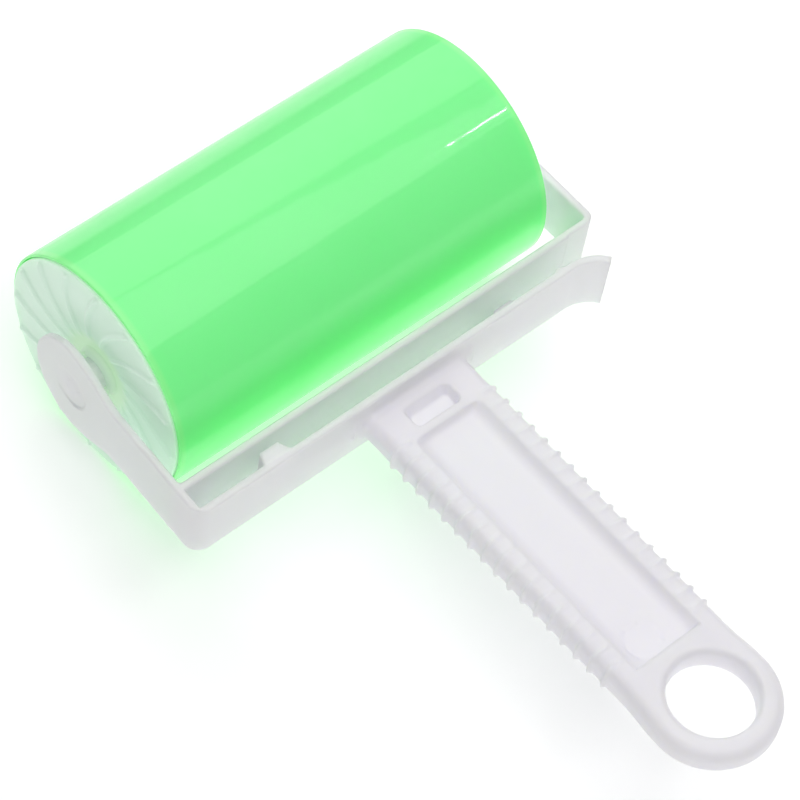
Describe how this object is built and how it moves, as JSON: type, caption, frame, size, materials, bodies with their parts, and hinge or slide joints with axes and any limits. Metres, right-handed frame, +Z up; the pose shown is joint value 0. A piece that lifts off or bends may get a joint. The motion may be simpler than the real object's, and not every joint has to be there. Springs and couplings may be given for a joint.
{
  "type": "lint roller",
  "caption": "Hand-held washable lint roller: a sticky sleeve turning between the arms of a one-piece frame with a ribbed handle and hanging ring.",
  "frame": {"origin": "Under the middle of the object, level with the lowest point of the roller", "axes": "+X along the roller towards the open end of the bar slot, the handle points along -Y, +Z up with the handle level"},
  "size_m": [0.1244, 0.1914, 0.06],
  "materials": {
    "frame_plastic": "milky white polypropylene, satin gloss",
    "sticky_rubber": "tacky translucent green, wet gloss",
    "core_plastic": "plain white polypropylene",
    "cap_plastic": "milky polypropylene tinted by the sleeve, satin gloss"
  },
  "bodies": {
    "frame": {"handle_frame": "frame_plastic"},
    "roller": {"sticky_sleeve": "sticky_rubber", "core_tube": "core_plastic", "end_cap_left": "cap_plastic", "end_cap_right": "cap_plastic"}
  },
  "joints": [
    {"name": "roller_spin", "type": "hinge", "parent": "frame", "child": "roller", "pos_m": [0.001, 0.06575, 0.03], "axis": [1, 0, 0], "continuous": true}
  ]
}
